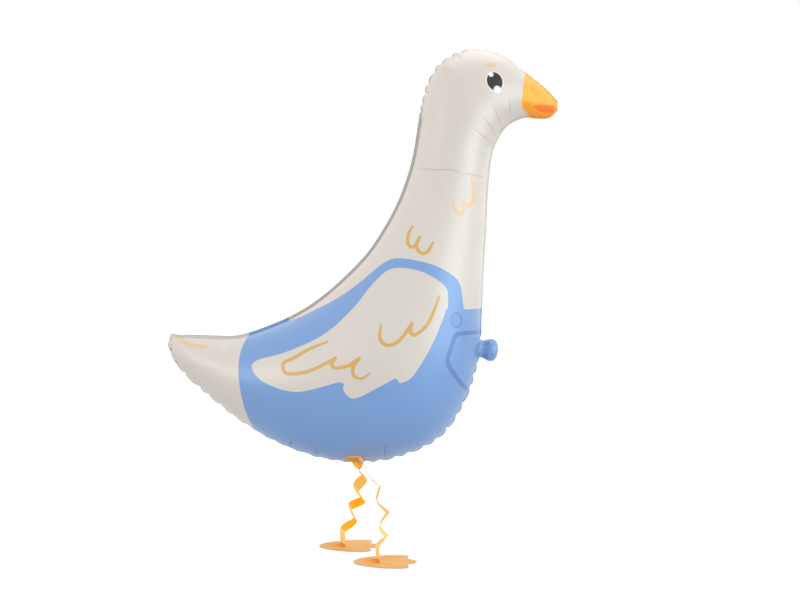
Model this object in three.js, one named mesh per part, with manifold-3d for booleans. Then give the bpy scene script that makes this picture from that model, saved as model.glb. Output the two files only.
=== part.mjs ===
// A walking goose balloon, side on and facing +X, in millimetres with +Z up.
// Two printed foil panels are welded round one outline, with the weld left as a narrow flange all the way
// round, and blown up through a filling neck at the breast. Two pleated paper strips are glued under the
// belly and to two flat card feet, which stand on the floor. The origin is on the floor, under the middle
// of the balloon's length.
import * as THREE from "three";
import { mergeVertices } from "three/addons/utils/BufferGeometryUtils.js";
import Module from "manifold-3d";

const wasm = await Module();
wasm.setup();

// Driving dimensions of the foil bag
const BAG_HEIGHT = 800; // from the lowest edge of the belly to the crown, blown up
const BELLY_ABOVE_FLOOR = 176;
const FLANGE_WIDTH = 7; // the welded margin outside the seam
const FLANGE_THICKNESS = 1;
const PUCKER_PITCH = 28; // from one gather of the rim to the next
const PUCKER_DEPTH = 3.5; // how far a gather pulls the rim in where the outline is tightly round
const TIGHT_RADIUS = 230; // an outline rounder than this is gathered to the full depth

// Driving dimensions of the filling neck at the breast
const VALVE_NECK_RADIUS = 16;
const VALVE_MOUTH_RADIUS = 21;
const VALVE_LENGTH = 40; // outside the seam
const VALVE_DROOP = 7; // degrees that it points below level
const VALVE_FLATNESS = 0.85; // its thickness as a share of its height

// Driving dimensions of the legs and feet
const STRIP_WIDTH = 29;
const STRIP_THICKNESS = 0.8;
const BELLY_TAB_LENGTH = 29; // the glued end of a strip, under the belly
const FOOT_TAB_LENGTH = 28; // the glued end of a strip, on the foot
const TAB_FROM_SEAM = 26; // from the seam to the nearer edge of a belly tab
const RIGHT_HANG_X = -2; // where each strip folds down from the belly
const LEFT_HANG_X = -14;
const RIGHT_ANKLE_X = 32; // where each strip meets its foot
const LEFT_ANKLE_X = -41;
const FEET_APART = 114; // between the centre lines of the feet
const FOOT_LENGTH = 120;
const FOOT_WIDTH = 86;
const FOOT_THICKNESS = 2;
const HEEL_TO_ANKLE = 48;
const GLUE_GAP = 0.3; // clearance between two pieces that lie against each other

const FOIL = new THREE.MeshStandardMaterial({ color: 0xe6e1dc, roughness: 0.32, metalness: 0.25 });
const STRIP_PAPER = new THREE.MeshStandardMaterial({ color: 0xf7b52c, roughness: 0.45, metalness: 0 });
const FOOT_CARD = new THREE.MeshStandardMaterial({ color: 0xecb277, roughness: 0.5, metalness: 0 });

// The goose's side view as ribs from its back to its belly, tail first, in hundredths of the bag's height:
// [x, z] of the seam along the back, [x, z] of the seam along the belly, and how full the rib is blown,
// as its thickness over its depth. x is measured from the middle of the length, z from the belly's edge.
const RIBS = [
  { back: [-46.7, 30.1], belly: [-46.9, 29.2], full: 0.05 },
  { back: [-45.9, 30.2], belly: [-46.3, 27.6], full: 0.3 },
  { back: [-44.4, 30.0], belly: [-45.4, 25.6], full: 0.72 },
  { back: [-42.2, 30.0], belly: [-43.0, 22.2], full: 0.84 },
  { back: [-38.8, 29.9], belly: [-38.8, 18.3], full: 0.88 },
  { back: [-34.9, 29.8], belly: [-33.6, 14.0], full: 0.88 },
  { back: [-30.7, 29.8], belly: [-28.2, 10.0], full: 0.86 },
  { back: [-26.5, 30.8], belly: [-20.5, 5.6], full: 0.83 },
  { back: [-22.1, 32.4], belly: [-11.5, 2.3], full: 0.8 },
  { back: [-17.2, 34.5], belly: [-1.8, 0.9], full: 0.77 },
  { back: [-12.3, 37.3], belly: [8.2, 2.2], full: 0.75 },
  { back: [-7.4, 41.0], belly: [18.2, 7.0], full: 0.74 },
  { back: [-2.5, 45.5], belly: [24.4, 16.3], full: 0.76 },
  { back: [1.9, 50.3], belly: [27.0, 26.0], full: 0.8 },
  { back: [5.6, 55.8], belly: [27.9, 36.2], full: 0.85 },
  { back: [8.5, 61.1], belly: [28.4, 47.5], full: 0.89 },
  { back: [10.4, 65.5], belly: [28.9, 57.5], full: 0.92 },
  { back: [12.1, 70.6], belly: [29.3, 66.1], full: 0.94 },
  { back: [13.2, 75.4], belly: [30.1, 73.7], full: 0.94 },
  { back: [14.1, 81.1], belly: [31.3, 77.4], full: 0.92 },
  { back: [14.9, 86.0], belly: [32.8, 80.1], full: 0.88 },
  { back: [16.3, 91.1], belly: [34.4, 81.9], full: 0.82 },
  { back: [19.3, 95.8], belly: [36.2, 83.0], full: 0.77 },
  { back: [24.5, 98.7], belly: [37.9, 83.7], full: 0.74 },
  { back: [30.4, 98.7], belly: [39.3, 84.0], full: 0.76 },
  { back: [35.1, 96.9], belly: [40.6, 83.9], full: 0.78 },
  { back: [38.4, 94.0], belly: [41.9, 83.8], full: 0.8 },
  { back: [41.1, 92.0], belly: [43.2, 83.8], full: 0.78 },
  { back: [43.5, 90.0], belly: [44.6, 84.0], full: 0.74 },
  { back: [45.3, 88.2], belly: [45.7, 84.7], full: 0.66 },
  { back: [46.3, 87.0], belly: [46.4, 85.4], full: 0.3 },
  { back: [46.9, 86.3], belly: [46.9, 85.8], full: 0.05 },
];
const FACES_PER_PANEL = 8; // facets from the back seam to the belly seam
const STATIONS_PER_PUCKER = 2;
const DRAWING_SCALE = BAG_HEIGHT / 100;
const VALVE_RIB_HEIGHT = 27.6; // where the filling neck leaves the breast, in the same hundredths

// The legs' pleats from the belly down. drop is the share of the way to the foot, aside is how far a fold
// stands forward of the straight line to the ankle, turn is the way that the strip's width points, in
// degrees from +X towards -Y, and dip is how far its near end hangs below level.
const RIGHT_PLEATS = [
  { drop: 0.177, aside: 8, turn: 86, dip: -10 },
  { drop: 0.271, aside: 27, turn: 83, dip: -10 },
  { drop: 0.42, aside: 15, turn: 84, dip: -8 },
  { drop: 0.529, aside: 33, turn: 72, dip: -13 },
  { drop: 0.664, aside: 11, turn: 96, dip: 0 },
  { drop: 0.77, aside: 23, turn: 103, dip: -1 },
  { drop: 0.849, aside: 2, turn: 77, dip: -6 },
];
const LEFT_PLEATS = [
  { drop: 0.07, aside: 2, turn: 50, dip: 0 },
  { drop: 0.2, aside: 10, turn: 88, dip: -9 },
  { drop: 0.276, aside: 23, turn: 65, dip: 11 },
  { drop: 0.394, aside: 8, turn: 66, dip: 13 },
  { drop: 0.516, aside: 26, turn: 67, dip: 10 },
  { drop: 0.594, aside: 2, turn: 74, dip: 6 },
  { drop: 0.728, aside: 17, turn: 74, dip: -2 },
  { drop: 0.843, aside: -6, turn: 68, dip: -3 },
];

// A closed triangle mesh from rings of points, each joined to the next, with a fan over each end.
function skinOf(rings) {
  const size = rings[0].length;
  const points = rings.flat();
  const faces = [];
  for (let i = 0; i + 1 < rings.length; i++) {
    for (let j = 0; j < size; j++) {
      const a = i * size + j;
      const b = i * size + ((j + 1) % size);
      faces.push(a, b, b + size, a, b + size, a + size);
    }
  }
  for (const [ring, flip] of [[0, true], [rings.length - 1, false]]) {
    const middle = rings[ring].reduce((sum, p) => sum.add(p), new THREE.Vector3()).divideScalar(size);
    const hub = points.push(middle) - 1;
    for (let j = 0; j < size; j++) {
      const a = ring * size + j;
      const b = ring * size + ((j + 1) % size);
      faces.push(...(flip ? [b, a, hub] : [a, b, hub]));
    }
  }
  const geometry = new THREE.BufferGeometry().setFromPoints(points);
  geometry.setIndex(faces);
  return geometry;
}

// Joining is done on solids: a geometry to a solid, and back.
function solidOf(geometry) {
  const bare = geometry.clone();
  bare.deleteAttribute("normal");
  bare.deleteAttribute("uv");
  const merged = mergeVertices(bare, 1e-3);
  return new wasm.Manifold(
    new wasm.Mesh({
      numProp: 3,
      vertProperties: merged.attributes.position.array,
      triVerts: new Uint32Array(merged.index.array),
    }),
  );
}

function geometryOf(solid) {
  const mesh = solid.getMesh();
  const geometry = new THREE.BufferGeometry();
  geometry.setAttribute("position", new THREE.BufferAttribute(mesh.vertProperties, 3));
  geometry.setIndex(new THREE.BufferAttribute(mesh.triVerts, 1));
  geometry.computeVertexNormals();
  return geometry;
}

// The seam's two runs and the fullness, each as a curve over the ribs.
const onDrawing = ([x, z]) =>
  new THREE.Vector2(x * DRAWING_SCALE, z * DRAWING_SCALE + BELLY_ABOVE_FLOOR);
const backSeam = new THREE.SplineCurve(RIBS.map((rib) => onDrawing(rib.back)));
const bellySeam = new THREE.SplineCurve(RIBS.map((rib) => onDrawing(rib.belly)));
const fullness = new THREE.SplineCurve(RIBS.map((rib, i) => new THREE.Vector2(i, rib.full)));

// Places along the body, set so that whichever seam runs further has gathers at an even pitch.
function stationsAlongBody() {
  const samples = RIBS.length * 40;
  const run = [0];
  for (let i = 1; i <= samples; i++) {
    const [from, to] = [(i - 1) / samples, i / samples];
    const onBack = backSeam.getPoint(from).distanceTo(backSeam.getPoint(to));
    const onBelly = bellySeam.getPoint(from).distanceTo(bellySeam.getPoint(to));
    run.push(run[i - 1] + Math.max(onBack, onBelly));
  }
  const count = Math.round(((run[samples] / PUCKER_PITCH) * STATIONS_PER_PUCKER) / 2) * 2;
  const stations = [];
  for (let k = 0, i = 0; k <= count; k++) {
    const wanted = (run[samples] * k) / count;
    while (i < samples - 1 && run[i + 1] < wanted) i++;
    const share = (wanted - run[i]) / (run[i + 1] - run[i]);
    stations.push(Math.min(1, (i + share) / samples));
  }
  return stations;
}

// How far the rim is gathered in at a station: only every other one, and only where the outline is convex.
function gatherAt(seam, stations, k, turnSign) {
  if (k % STATIONS_PER_PUCKER === 0 || k < 2 || k > stations.length - 3) return 0;
  const before = seam.getPoint(stations[k - 2]);
  const here = seam.getPoint(stations[k]);
  const after = seam.getPoint(stations[k + 2]);
  const arriving = here.clone().sub(before);
  const leaving = after.clone().sub(here);
  const turn = (turnSign * arriving.cross(leaving)) / (arriving.length() * leaving.length());
  const pitch = (arriving.length() + leaving.length()) / 2;
  const tightness = Math.min(1, (TIGHT_RADIUS * Math.max(turn, 0)) / pitch);
  return PUCKER_DEPTH * tightness * Math.min(1, (pitch / PUCKER_PITCH) ** 2);
}

// One rib's closed section: the near panel from back to belly, the flange, the far panel, the flange.
function ribSection(stations, k) {
  const t = stations[k];
  const back = backSeam.getPoint(t);
  const belly = bellySeam.getPoint(t);
  const middle = back.clone().add(belly).multiplyScalar(0.5);
  const depth = back.distanceTo(belly) / 2;
  const up = back.clone().sub(belly).normalize();
  const edge = FLANGE_THICKNESS / 2;
  const thickness = Math.max(depth * fullness.getPoint(t).y, edge);
  const backGather = gatherAt(backSeam, stations, k, -1);
  const bellyGather = gatherAt(bellySeam, stations, k, 1);
  const at = (along, y) =>
    new THREE.Vector3(middle.x + up.x * along, y, middle.y + up.y * along);
  const half = (side) => {
    const points = [
      at(depth + FLANGE_WIDTH - backGather, side * edge),
      at(depth - backGather, side * edge),
    ];
    for (let j = 1; j < FACES_PER_PANEL; j++) {
      const angle = (Math.PI * j) / FACES_PER_PANEL;
      const y = Math.max(thickness * Math.sin(angle), edge);
      const pull = j === 1 ? backGather : j === FACES_PER_PANEL - 1 ? -bellyGather : 0;
      points.push(at(depth * Math.cos(angle) - pull / 2, side * y));
    }
    points.push(
      at(-depth + bellyGather, side * edge),
      at(-depth - FLANGE_WIDTH + bellyGather, side * edge),
    );
    return points;
  };
  return [...half(-1), ...half(1).reverse()];
}

// The filling neck: a short flared tube with a rounded mouth, turned about its own axis.
function fillingNeck() {
  const rootInside = VALVE_MOUTH_RADIUS;
  const profile = new THREE.Path();
  profile.moveTo(0, -rootInside);
  profile.lineTo(VALVE_MOUTH_RADIUS, -rootInside);
  profile.quadraticCurveTo(VALVE_NECK_RADIUS, 0, VALVE_NECK_RADIUS, VALVE_LENGTH * 0.3);
  profile.quadraticCurveTo(VALVE_NECK_RADIUS, VALVE_LENGTH * 0.45, VALVE_MOUTH_RADIUS, VALVE_LENGTH * 0.7);
  profile.quadraticCurveTo(VALVE_MOUTH_RADIUS, VALVE_LENGTH, VALVE_MOUTH_RADIUS * 0.7, VALVE_LENGTH);
  profile.lineTo(0, VALVE_LENGTH);
  const geometry = new THREE.LatheGeometry(profile.getPoints(5), 20);
  geometry.scale(1, 1, VALVE_FLATNESS);
  geometry.rotateZ(THREE.MathUtils.degToRad(-90 - VALVE_DROOP));
  const breast = seamPointAtHeight(VALVE_RIB_HEIGHT * DRAWING_SCALE + BELLY_ABOVE_FLOOR);
  geometry.rotateX(Math.PI / 2);
  geometry.translate(breast.x, 0, breast.y);
  return geometry;
}

// The place on the breast seam at a height: the belly's run climbs steadily there.
function seamPointAtHeight(z) {
  let [low, high] = [0.3, 0.65];
  for (let i = 0; i < 40; i++) {
    const t = (low + high) / 2;
    if (bellySeam.getPoint(t).y < z) low = t;
    else high = t;
  }
  return bellySeam.getPoint(low);
}

function foilBag() {
  const stations = stationsAlongBody();
  const rings = stations.map((t, k) => ribSection(stations, k));
  const bag = solidOf(skinOf(rings)).add(solidOf(fillingNeck()));
  const mesh = new THREE.Mesh(geometryOf(bag), FOIL);
  mesh.name = "foil_bag";
  return mesh;
}

// A flat card foot in its own frame: ankle at the origin, toes towards +X, lying on z = 0.
function footOutline() {
  const heel = -HEEL_TO_ANKLE;
  const toe = heel + FOOT_LENGTH;
  const half = FOOT_WIDTH / 2;
  const web = toe - FOOT_LENGTH * 0.16; // the web's edge between two toes
  const sideToe = toe - FOOT_LENGTH * 0.14;
  const ball = heel + FOOT_LENGTH * 0.52; // where the foot is widest
  const arch = heel + FOOT_LENGTH * 0.25;
  const sideToeRoot = sideToe - FOOT_LENGTH * 0.12;
  const shape = new THREE.Shape();
  shape.moveTo(heel, 0);
  shape.bezierCurveTo(heel, -half * 0.45, arch, -half * 0.8, ball, -half * 0.97);
  shape.bezierCurveTo(sideToeRoot, -half * 1.04, sideToe + 4, -half, sideToe, -half * 0.72);
  shape.quadraticCurveTo(web - 2, -half * 0.52, web + 2, -half * 0.36);
  shape.bezierCurveTo(toe + 4, -half * 0.16, toe + 4, half * 0.16, web + 2, half * 0.36);
  shape.quadraticCurveTo(web - 2, half * 0.52, sideToe, half * 0.72);
  shape.bezierCurveTo(sideToe + 4, half, sideToeRoot, half * 1.04, ball, half * 0.97);
  shape.bezierCurveTo(arch, half * 0.8, heel, half * 0.45, heel, 0);
  return shape;
}

function foot(name, ankleX, y) {
  const geometry = new THREE.ExtrudeGeometry(footOutline(), {
    depth: FOOT_THICKNESS,
    bevelEnabled: false,
    curveSegments: 8,
  });
  const mesh = new THREE.Mesh(geometry, FOOT_CARD);
  mesh.name = name;
  mesh.position.set(ankleX, y, 0);
  return mesh;
}

// A flat strip through a list of places, each with the way that its width points there.
function strip(places) {
  const rings = places.map(({ at, across }, i) => {
    const arriving = at.clone().sub((places[i - 1] ?? places[i]).at).normalize();
    const leaving = (places[i + 1] ?? places[i]).at.clone().sub(at).normalize();
    const along = arriving.add(leaving).normalize();
    const face = along.cross(across).normalize();
    const fold = Math.min(1.6, 1 / Math.max(0.5, foldCosine(places, i)));
    const half = face.multiplyScalar((STRIP_THICKNESS / 2) * fold);
    const side = across.clone().multiplyScalar(STRIP_WIDTH / 2);
    return [
      at.clone().add(side).add(half),
      at.clone().sub(side).add(half),
      at.clone().sub(side).sub(half),
      at.clone().add(side).sub(half),
    ];
  });
  return skinOf(rings);
}

// The cosine of half the angle that the strip turns through at a place, which keeps a fold's thickness even.
function foldCosine(places, i) {
  if (i === 0 || i === places.length - 1) return 1;
  const arriving = places[i].at.clone().sub(places[i - 1].at).normalize();
  const leaving = places[i + 1].at.clone().sub(places[i].at).normalize();
  return Math.cos(arriving.angleTo(leaving) / 2);
}

function acrossAt(turn, dip) {
  const [a, b] = [THREE.MathUtils.degToRad(turn), THREE.MathUtils.degToRad(dip)];
  return new THREE.Vector3(Math.cos(a) * Math.cos(b), -Math.sin(a) * Math.cos(b), -Math.sin(b));
}

// The lowest height of the belly at a distance from the seam, over a short stretch of its length.
function bellyHeight(bag, x, y, reach) {
  const ray = new THREE.Raycaster();
  const heights = [-1, -0.5, 0, 0.5, 1].map((share) => {
    ray.set(new THREE.Vector3(x + share * reach, y, 0), new THREE.Vector3(0, 0, 1));
    return ray.intersectObject(bag)[0].point.z;
  });
  return Math.min(...heights);
}

// A place under the belly for the middle of a strip that lies flat against it, as low as it has to be.
function underBelly(bag, x, side, reach) {
  const middle = side * (TAB_FROM_SEAM + STRIP_WIDTH / 2);
  const samples = [-0.5, -0.3, -0.1, 0.1, 0.3, 0.5].map((share) => {
    const y = middle + share * STRIP_WIDTH;
    return new THREE.Vector2(y, bellyHeight(bag, x, y, reach));
  });
  const slope = (samples.at(-1).y - samples[0].y) / (samples.at(-1).x - samples[0].x);
  const lowest = Math.min(...samples.map((p) => p.y - slope * (p.x - middle)));
  const clearance = (GLUE_GAP + STRIP_THICKNESS / 2) * Math.hypot(1, slope);
  return {
    at: new THREE.Vector3(x, middle, lowest - clearance),
    across: new THREE.Vector3(0, -1, -slope).normalize(),
  };
}

// A leg: a tab glued under the belly, the pleats, and a tab glued on the foot towards its heel.
// side is -1 for the right leg and 1 for the left.
function leg(name, bag, side, hangX, ankleX, pleats) {
  const places = [];
  const tabSteps = 4;
  const step = BELLY_TAB_LENGTH / tabSteps;
  for (let i = 0; i <= tabSteps; i++) {
    places.push(underBelly(bag, hangX - BELLY_TAB_LENGTH + i * step, side, step));
  }
  const hang = places[tabSteps].at;
  const onFoot = FOOT_THICKNESS + GLUE_GAP + STRIP_THICKNESS / 2;
  const ankle = new THREE.Vector3(ankleX, (side * FEET_APART) / 2, onFoot);
  for (const { drop, aside, turn, dip } of pleats) {
    const at = hang.clone().lerp(ankle, drop);
    at.x += aside;
    places.push({ at, across: acrossAt(turn, dip) });
  }
  const acrossFoot = acrossAt(pleats.at(-1).turn, 0);
  places.push({ at: ankle, across: acrossFoot });
  places.push({ at: ankle.clone().sub(new THREE.Vector3(FOOT_TAB_LENGTH, 0, 0)), across: acrossFoot });
  const mesh = new THREE.Mesh(geometryOf(solidOf(strip(places))), STRIP_PAPER);
  mesh.name = name;
  return mesh;
}

const goose = new THREE.Group();
goose.name = "goose_balloon";
const bag = foilBag();
goose.add(bag);
goose.add(leg("right_leg_strip", bag, -1, RIGHT_HANG_X, RIGHT_ANKLE_X, RIGHT_PLEATS));
goose.add(leg("left_leg_strip", bag, 1, LEFT_HANG_X, LEFT_ANKLE_X, LEFT_PLEATS));
goose.add(foot("right_foot", RIGHT_ANKLE_X, -FEET_APART / 2));
goose.add(foot("left_foot", LEFT_ANKLE_X, FEET_APART / 2));

export default goose;
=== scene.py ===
import math
import random

import bmesh
import bpy
import numpy as np
from mathutils import Matrix, Vector
from mathutils.bvhtree import BVHTree
from mathutils.kdtree import KDTree


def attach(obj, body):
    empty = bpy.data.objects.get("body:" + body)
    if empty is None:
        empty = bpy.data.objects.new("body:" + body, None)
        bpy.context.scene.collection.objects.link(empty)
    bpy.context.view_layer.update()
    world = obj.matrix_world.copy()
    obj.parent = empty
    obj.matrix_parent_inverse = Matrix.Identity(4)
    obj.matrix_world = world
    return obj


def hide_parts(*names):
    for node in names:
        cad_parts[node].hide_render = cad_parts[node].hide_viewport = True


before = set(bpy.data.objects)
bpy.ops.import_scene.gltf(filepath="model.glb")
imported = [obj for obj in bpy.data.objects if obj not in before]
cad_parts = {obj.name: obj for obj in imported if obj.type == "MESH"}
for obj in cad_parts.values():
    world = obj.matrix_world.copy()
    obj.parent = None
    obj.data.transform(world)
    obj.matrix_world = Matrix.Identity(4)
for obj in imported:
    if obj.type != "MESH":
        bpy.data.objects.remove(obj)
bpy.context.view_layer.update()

# The foil bag: its blown-up form.
# The bag is two equal panels of printed foil film, welded round one outline and blown up through a neck at
# the breast. Each panel is lofted over ribs that run from its back seam to its belly seam.
MM = 0.001  # sizes here are in millimetres, and Blender's are in metres
BAG_HEIGHT = 800.0
BELLY_ABOVE_FLOOR = 176.0
RIM_WIDTH = 7.0  # from the drawn outline to the cut edge of the film
BACK_MARGIN, FRONT_MARGIN, RUCKED_MARGIN = 5.5, 3.5, 2.5  # the weld's width, and where the rim is gathered
MARGIN_THICKNESS = 0.7
STEPS_ALONG, STEPS_ACROSS, MARGIN_STEPS = 650, 180, 6
COARSE_STEP = 3  # the film's grid takes every third step across, and every one where it carries a stroke
STRAIGHT_RADIUS, TIGHT_RADIUS = 1600.0, 400.0  # outline radii where gathers begin and are deepest
TURN_REACH = 24.0  # how far to either side of a place on the seam its turn is measured
BEAK_STARTS_AT = 310.0
TAIL_ENDS_AT = -345.0
TAIL_HEM, TAIL_HEM_ENDS_AT = 1.0, -120.0  # the tail's lower edge is gathered too, though it is straight
BEAK_CALM, BEAK_BLEND = 0.8, 20.0  # the share of the gathering that the beak is without
TAIL_TIP_CALM, TAIL_TIP_BLEND = 0.6, 12.0
HEM_BLEND = 30.0
GATHER_BLEND = 31  # seam points over which a change in the gathering is spread
# The ribs, tail first: [x, z] of each end in hundredths of the bag's height, and how full the rib is blown,
# as its thickness over its depth.
RIBS = [
    [(-46.7, 30.1), (-46.9, 29.2), 0.05],
    [(-45.9, 30.2), (-46.3, 27.6), 0.3],
    [(-44.4, 30.0), (-45.4, 25.6), 0.72],
    [(-42.2, 30.0), (-43.0, 22.2), 0.84],
    [(-38.8, 29.9), (-38.8, 18.3), 0.88],
    [(-34.9, 29.8), (-33.6, 14.0), 0.88],
    [(-30.7, 29.8), (-28.2, 10.0), 0.86],
    [(-26.5, 30.8), (-20.5, 5.6), 0.83],
    [(-22.1, 32.4), (-11.5, 2.3), 0.8],
    [(-17.2, 34.5), (-1.8, 0.9), 0.77],
    [(-12.3, 37.3), (8.2, 2.2), 0.75],
    [(-7.4, 41.0), (18.2, 7.0), 0.74],
    [(-2.5, 45.5), (24.4, 16.3), 0.76],
    [(1.9, 50.3), (27.0, 26.0), 0.8],
    [(5.6, 55.8), (27.9, 36.2), 0.85],
    [(8.5, 61.1), (28.4, 47.5), 0.89],
    [(10.4, 65.5), (28.9, 57.5), 0.92],
    [(12.1, 70.6), (29.3, 66.1), 0.94],
    [(13.2, 75.4), (30.1, 73.7), 0.94],
    [(14.1, 81.1), (31.3, 77.4), 0.92],
    [(14.9, 86.0), (32.8, 80.1), 0.88],
    [(16.3, 91.1), (34.4, 81.9), 0.82],
    [(19.3, 95.8), (36.2, 83.0), 0.77],
    [(24.5, 98.7), (37.9, 83.7), 0.74],
    [(30.4, 98.7), (39.3, 84.0), 0.76],
    [(35.1, 96.9), (40.6, 83.9), 0.78],
    [(38.4, 94.0), (41.9, 83.8), 0.8],
    [(41.1, 92.0), (43.2, 83.8), 0.78],
    [(43.5, 90.0), (44.6, 84.0), 0.74],
    [(45.3, 88.2), (45.7, 84.7), 0.66],
    [(46.3, 87.0), (46.4, 85.4), 0.3],
    [(46.9, 86.3), (46.9, 85.8), 0.05],
]


def on_spline(points, shares):
    """Places on a smooth curve through the points, at shares of the way from its first to its last."""
    points = np.array(points, float)
    reach = np.asarray(shares) * (len(points) - 1)
    i = np.minimum(reach.astype(int), len(points) - 2)
    w = (reach - i)[:, None]
    a, b = points[np.maximum(i - 1, 0)], points[i]
    c, d = points[i + 1], points[np.minimum(i + 2, len(points) - 1)]
    out_of, into = (c - a) / 2, (d - b) / 2
    return ((2 * (b - c) + out_of + into) * w + 3 * (c - b) - 2 * out_of - into) * w**2 + out_of * w + b


def run_lengths(line):
    """How far along a line each of its points is."""
    return np.concatenate([[0], np.cumsum(np.linalg.norm(np.diff(line, axis=0), axis=1))])


def smooth_step(x, low, high):
    x = np.clip((x - low) / (high - low), 0, 1)
    return x * x * (3 - 2 * x)


fine = np.linspace(0, 1, len(RIBS) * 40)
drawing_scale, drawing_lift = BAG_HEIGHT / 100, np.array([0, BELLY_ABOVE_FLOOR])
back_points = np.array([rib[0] for rib in RIBS]) * drawing_scale + drawing_lift
belly_points = np.array([rib[1] for rib in RIBS]) * drawing_scale + drawing_lift
steps_back = np.diff(run_lengths(on_spline(back_points, fine)))
steps_belly = np.diff(run_lengths(on_spline(belly_points, fine)))
run = np.concatenate([[0], np.cumsum(np.maximum(steps_back, steps_belly))])
stations = np.interp(np.linspace(0, run[-1], STEPS_ALONG + 1), run, fine)
back = on_spline(back_points, stations)
belly = on_spline(belly_points, stations)

# The seam as one closed line with a point every millimetre, and how strongly the rim is gathered at each:
# fully where the outline is tightly round and along the tail's lower edge, less on the beak and the tail's
# tip, and not at all elsewhere where it is straight or hollow.
loop = np.vstack([back, belly[::-1]])
loop_run = run_lengths(loop)
seam_at = np.arange(0, loop_run[-1], 1.0)
seam = np.stack([np.interp(seam_at, loop_run, loop[:, k]) for k in (0, 1)], 1)
coming = seam - np.roll(seam, int(TURN_REACH), axis=0)
going = np.roll(seam, -int(TURN_REACH), axis=0) - seam
turn = (coming[:, 1] * going[:, 0] - coming[:, 0] * going[:, 1]) / (
    np.linalg.norm(coming, axis=1) * np.linalg.norm(going, axis=1))
gathered = smooth_step(turn / TURN_REACH, 1 / STRAIGHT_RADIUS, 1 / TIGHT_RADIUS)
tail_hem = TAIL_HEM * (seam_at > loop_run[STEPS_ALONG]) * smooth_step(
    seam[:, 0], TAIL_HEM_ENDS_AT + HEM_BLEND, TAIL_HEM_ENDS_AT - HEM_BLEND)
gathered = np.maximum(gathered, tail_hem)
gathered *= 1 - BEAK_CALM * smooth_step(seam[:, 0], BEAK_STARTS_AT - BEAK_BLEND, BEAK_STARTS_AT + BEAK_BLEND)
gathered *= 1 - TAIL_TIP_CALM * smooth_step(
    seam[:, 0], TAIL_ENDS_AT + TAIL_TIP_BLEND, TAIL_ENDS_AT - TAIL_TIP_BLEND)
window = np.hanning(GATHER_BLEND) / np.hanning(GATHER_BLEND).sum()
ends = GATHER_BLEND // 2
gathered = np.convolve(np.concatenate([gathered[-ends:], gathered, gathered[:ends]]), window, "valid")
seam_tree = KDTree(len(seam))
for i, (x, z) in enumerate(seam):
    seam_tree.insert((x, 0, z), i)
seam_tree.balance()


def nearest_seam(spots):
    """The seam point nearest to each [x, z] spot."""
    return np.array([seam_tree.find((x, 0, z))[1] for x, z in spots])


# Each rib is a half ellipse with the welded margin at both ends; this panel lies towards -Y.
middle = (back + belly) / 2
depth = np.linalg.norm(back - belly, axis=1) / 2
up = (back - belly) / (2 * depth[:, None])
half_weld = MARGIN_THICKNESS / 2
fullness = on_spline([[rib[2]] for rib in RIBS], stations)[:, 0]
thickness = np.maximum(depth * fullness, half_weld)
margin_back, margin_belly = (
    (flat_margin + (RUCKED_MARGIN - flat_margin) * gathered[nearest_seam(line)])[:, None]
    for line, flat_margin in ((back, BACK_MARGIN), (belly, FRONT_MARGIN)))
half_back = depth[:, None] + RIM_WIDTH - margin_back
half_belly = depth[:, None] + RIM_WIDTH - margin_belly
angle = np.linspace(0, math.pi, STEPS_ACROSS - 2 * MARGIN_STEPS + 1)
outward = np.linspace(1, 0, MARGIN_STEPS + 1)[:-1]
reach = np.concatenate([
    half_back + margin_back * outward,
    np.where(np.cos(angle) > 0, half_back, half_belly) * np.cos(angle),
    -half_belly - margin_belly * outward[::-1],
], axis=1)
flat = np.ones_like(depth)
lift = np.concatenate([
    np.outer(flat, half_weld * (1 - outward)),
    np.maximum(np.outer(thickness, np.sin(angle)), half_weld),
    np.outer(flat, half_weld * (1 - outward[::-1])),
], axis=1)
lift[0] = lift[-1] = 0
panel = np.stack([middle[:, :1] + up[:, :1] * reach, -lift, middle[:, 1:] + up[:, 1:] * reach], axis=2)

# The gathers and creases.
# Round the head, tail and belly the rim is drawn in every 20 to 30 mm: the film swells into a lobe between
# two notches, and a sharp crease runs in from each. Longer creases cross the throat and the neck.
GATHER_PITCH, HEAD_PITCH = 30.0, 20.0  # the gathers are closer together round the head
PITCH_SPREAD = (0.72, 1.28)
HEAD_STARTS_AT = 800.0
GATHER_DEPTH = 4.4
GATHER_REACH = 13.0  # how far in from the seam the lobes fade out
LOBE_ROUNDING, LOBE_LEVEL = 0.6, 0.85  # a lobe's profile, and the share of its height left where it was
CREASE_DEPTH = (0.5, 1.7)
CREASE_REACH = (7.0, 26.0)
CREASE_WIDTH = 3.2
DARKEST_CREASE = 3.0  # the depth at which a crease's painted shade is at its darkest
FOLD_EDGE, FOLD_FADE = 8.0, 3.0  # a crease's painted shade reaches no further than this to either side, and fades there
FOLD_BULGE, FOLD_BULGE_WIDTH, FOLD_DIP = 0.4, 8.0, 1.3  # beside a long crease, and at its bottom
STREAK_DEPTH, STREAK_PITCH, STREAK_REACH = 0.8, 17.0, 70.0  # the film's slight waves, square to the seam
STREAK_STARTS = (4, 30)
RUFFLE, LEAST_RUFFLE = 0.9, 0.2  # how far the margin waves to either side, and the share where it is smooth
SWELL, SWELL_HEIGHT, SWELL_REACH = 3.4, 397.0, 44.0  # the breast's swelling round the filling neck
SWELL_STARTS = (120, 190)
# How dark the painted shade on the welded margin is: along the back, the extra along the back of the neck,
# and along the belly.
MARGIN_PAINTED_SHADE, NECK_MARGIN_PAINTED_SHADE, BELLY_MARGIN_PAINTED_SHADE = 0.2, 0.4, 0.12
NECK_STARTS, NECK_ENDS = (-165, -135), (885, 855)  # in X behind, and in Z at the head
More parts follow.
